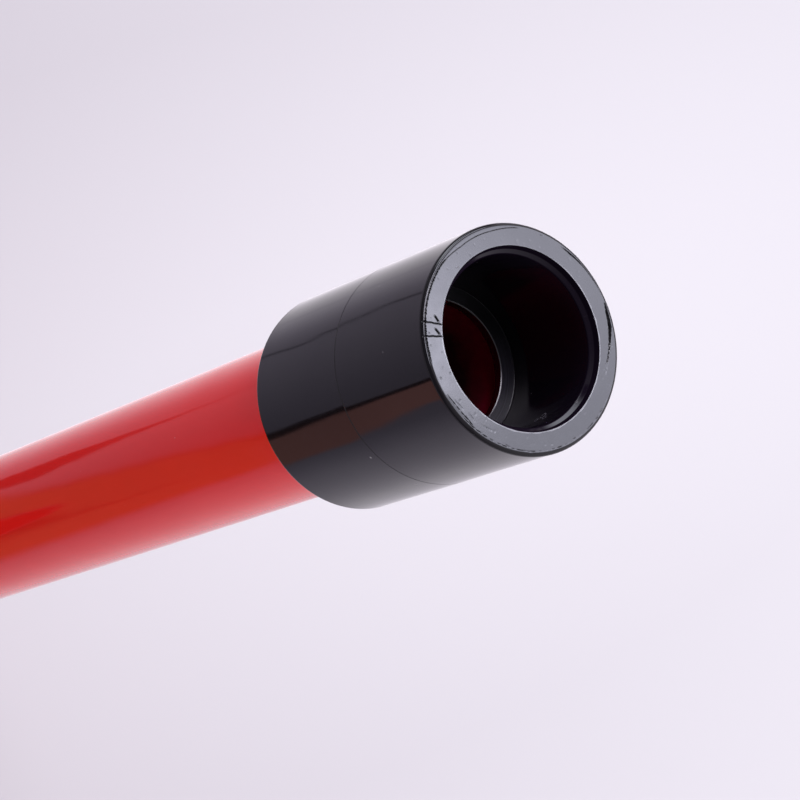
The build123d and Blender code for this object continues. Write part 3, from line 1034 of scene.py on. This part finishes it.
def make_lamp(name, aim, direction, distance, size, watts, glossy=False, tint=(1.0, 1.0, 1.0)):
    """A square soft light that faces a point."""
    light = bpy.data.lights.new(name, "AREA")
    light.shape = "SQUARE"
    light.size = size
    light.energy = watts
    light.color = tint
    lamp = add_object(name, light)
    lamp.location = aim + direction.normalized() * distance
    lamp.rotation_mode = "QUATERNION"
    lamp.rotation_quaternion = direction.to_track_quat("Z", "Y")
    lamp.visible_camera = False
    lamp.visible_glossy = glossy


def make_floor():
    """A pale floor, with painted light: paler towards the key light, and a painted pool of light."""
    bpy.ops.mesh.primitive_plane_add(size=40)
    floor = bpy.context.object
    floor.name = "floor"
    material, tree, shader, coords = new_material("floor_pale")
    shader.inputs["Roughness"].default_value = 0.9
    shader.inputs["Specular IOR Level"].default_value = 0.1
    # Painted light: the colour grows paler towards the key light, and a painted pool of light is added.
    along = add_node(tree, "ShaderNodeVectorMath", {0: coords, 1: FLOOR_LIGHT_SLOPE}, operation="DOT_PRODUCT")
    share = ranged(tree, along.outputs["Value"], FLOOR_RUN)
    away = add_node(tree, "ShaderNodeVectorMath", {0: coords, 1: LIGHT_POOL_MIDDLE}, operation="SUBTRACT")
    away = add_node(tree, "ShaderNodeVectorMath", {0: away.outputs[0], 1: LIGHT_POOL_REACH}, operation="MULTIPLY")
    away = add_node(tree, "ShaderNodeVectorMath", {0: away.outputs[0]}, operation="LENGTH")
    light_pool = ranged(tree, away.outputs["Value"], (1.2, 0.3), (0.0, 0.30))
    share = math_node(tree, "ADD", share, light_pool)
    tree.links.new(blended(tree, share, FLOOR_DIM, FLOOR_LIT), shader.inputs["Base Color"])
    floor.data.materials.append(material)


def make_world():
    """Soft surroundings, bright behind the driver and dim on the camera's side."""
    world = bpy.data.worlds.new("studio")
    world.use_nodes = True
    bpy.context.scene.world = world
    tree = world.node_tree
    direction = add_node(tree, "ShaderNodeTexCoord").outputs["Generated"]
    share = ranged(tree, coordinate(tree, direction, "X"), (0.6, -0.7))
    colour = blended(tree, share, (0.10, 0.095, 0.115), (0.88, 0.85, 0.93))
    tree.links.new(colour, tree.nodes["Background"].inputs["Color"])


# ---- Camera ----
CAMERA_FROM_MOUTH = Vector((0.6350, 0.0058, 0.8326))
CAMERA_ELEVATION = math.radians(55.19)
CAMERA_ROLL = math.radians(70.45)
CAMERA_LENS = 139.0


def make_camera():
    """The camera, on the side of the right handle and above the mouth, rolled well over."""
    camera = add_object("camera", bpy.data.cameras.new("camera"))
    camera.data.lens = CAMERA_LENS
    camera.data.sensor_width = 36.0
    back = Vector((math.cos(CAMERA_ELEVATION), 0, math.sin(CAMERA_ELEVATION)))
    level = Vector((0, 1, 0))
    right = level * math.cos(CAMERA_ROLL) + back.cross(level) * math.sin(CAMERA_ROLL)
    turn = Matrix((right, back.cross(right), back)).transposed().to_4x4()
    camera.matrix_world = Matrix.Translation(Vector((0, 0, MOUTH)) + CAMERA_FROM_MOUTH) @ turn
    bpy.context.scene.camera = camera


# ---- Putting it together ----
paint = red_paint("red_paint")
worn_paint = red_paint("red_paint_worn", chips=0.01)
rubber = grip_rubber()
make_collar(
    [
        black_plastic("collar_gloss", (0.0040, 0.0034, 0.0046), 0.075, 0.0015 * MM, 0.6),
        face_plastic(),
        bore_plastic(),
        scuffed_plastic(),
    ]
)
make_tube([paint, bare_inside()])
make_plate(worn_paint)
make_head_weld(paint)
for side, name in ((1, "right"), (-1, "left")):
    make_handle(side, name, paint)
    make_grip(side, name, rubber)
    for foot, place in zip(FEET, ("lower", "upper")):
        node = f"{name}_{place}_weld"
        make_foot_weld(side, foot, f"{node}_bead", node, len(node) + side, paint)
for node, material in (("anvil", anvil_steel()), ("anvil_pins", pin_steel())):
    cad_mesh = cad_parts[node].data
    cad_mesh.materials.clear()
    cad_mesh.materials.append(material)

make_floor()
make_world()
surround_card()
mouth = Vector((0, 0, MOUTH))
mirror_way = Vector((-math.cos(CAMERA_ELEVATION), 0, math.sin(CAMERA_ELEVATION)))
facing_card("key_card", mouth, mirror_way, STUDIO_DISTANCE, KEY_SIZE, key_glow)
facing_card("side_card", mouth, Vector(SIDE_CARD_WAY), STUDIO_DISTANCE, SIDE_CARD_SIZE, side_glow)
make_lamp("key_lamp", mouth, mirror_way, STUDIO_DISTANCE, KEY_SIZE, KEY_WATTS)
side_lamp = (Vector(SIDE_LAMP_WAY), STUDIO_DISTANCE, SIDE_LAMP_SIZE, SIDE_LAMP_WATTS)
make_lamp("side_lamp", mouth, *side_lamp, glossy=True, tint=SIDE_LAMP_TINT)
for turn, watts in FILL_LAMPS:
    way = Vector((math.cos(math.radians(turn)), math.sin(math.radians(turn)), FILL_RISE))
    make_lamp(f"fill_lamp{turn}", Vector(FILL_AIM), way, FILL_DISTANCE, FILL_SIZE, watts)
make_camera()
bpy.context.scene.view_settings.view_transform = "Standard"
